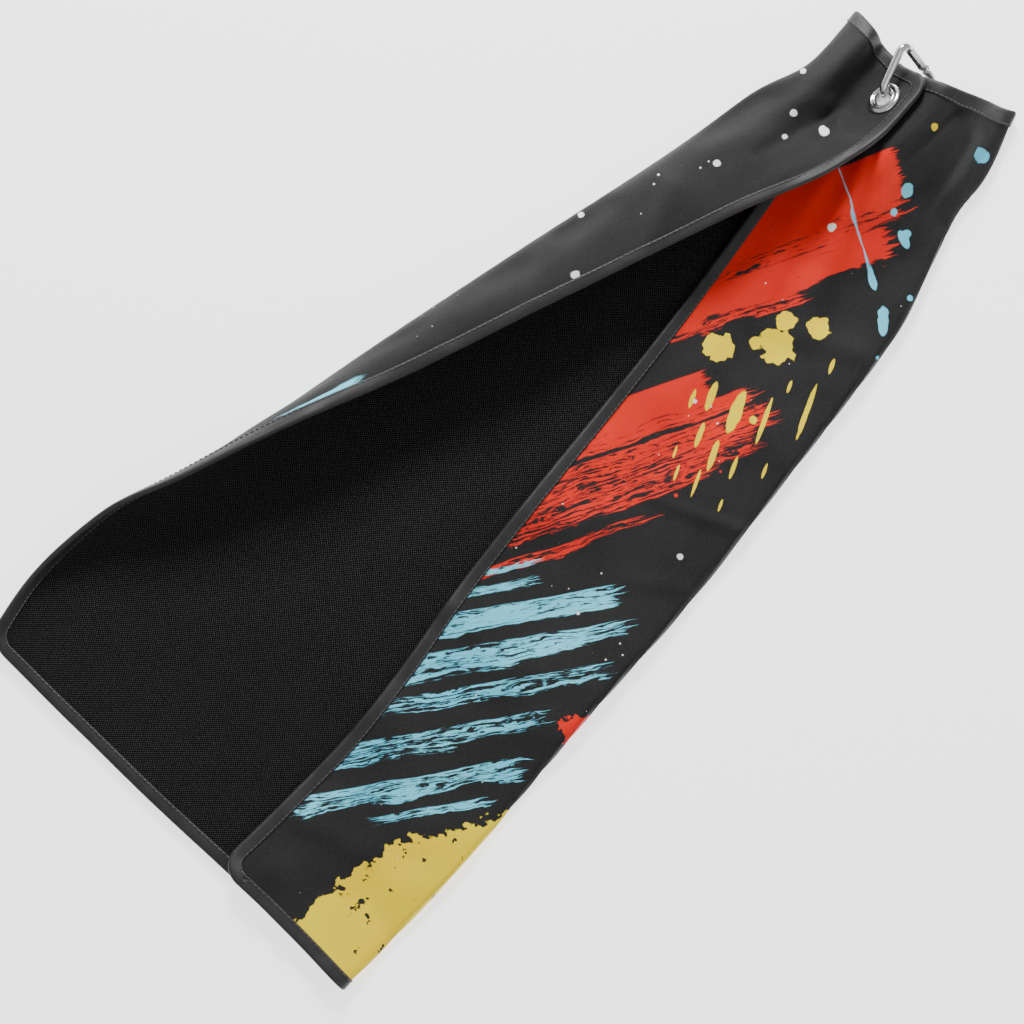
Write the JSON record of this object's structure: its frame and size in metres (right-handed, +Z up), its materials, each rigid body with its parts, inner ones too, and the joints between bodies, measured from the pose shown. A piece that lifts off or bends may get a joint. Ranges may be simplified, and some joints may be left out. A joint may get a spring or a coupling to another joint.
{
  "type": "golf towel",
  "caption": "Printed golf towel folded in from both long sides and fanned open, with a bound edge, a metal grommet and a sprung-gate carabiner.",
  "frame": {"origin": "middle of the footprint, at the height of the towel's underside", "axes": "+Y along the towel towards the grommet, +X towards the right flap's fold, +Z up"},
  "size_m": [0.2846, 0.6082, 0.039],
  "materials": {
    "printed_cloth": "matte",
    "textured_cloth": "matte",
    "binding_tape": "satin",
    "seam_thread": "satin",
    "grommet_metal": "polished",
    "carabiner_metal": "polished",
    "spring_metal": "satin"
  },
  "bodies": {
    "towel": {"face_cloth": "printed_cloth", "back_cloth": "textured_cloth", "edge_binding": "binding_tape", "needle_thread": "seam_thread", "bobbin_thread": "seam_thread", "grommet_eyelet": "grommet_metal", "grommet_washer": "grommet_metal"},
    "carabiner": {"carabiner_frame": "carabiner_metal", "gate_rivet": "spring_metal"},
    "gate": {"carabiner_gate": "carabiner_metal", "gate_spring": "spring_metal"}
  },
  "joints": [
    {"name": "carabiner_swing", "type": "hinge", "parent": "towel", "child": "carabiner", "pos_m": [0.04033, 0.26067, 0.0209], "axis": [0.7071, 0, -0.7071], "range_deg": [-8, 12]},
    {"name": "gate_swing", "type": "hinge", "parent": "carabiner", "child": "gate", "pos_m": [0.04492, 0.28658, 0.0163], "axis": [0.7071, 0, 0.7071], "range_deg": [0, 18], "stiffness_Nm_per_rad": 0.02, "springref_deg": -11.46}
  ]
}
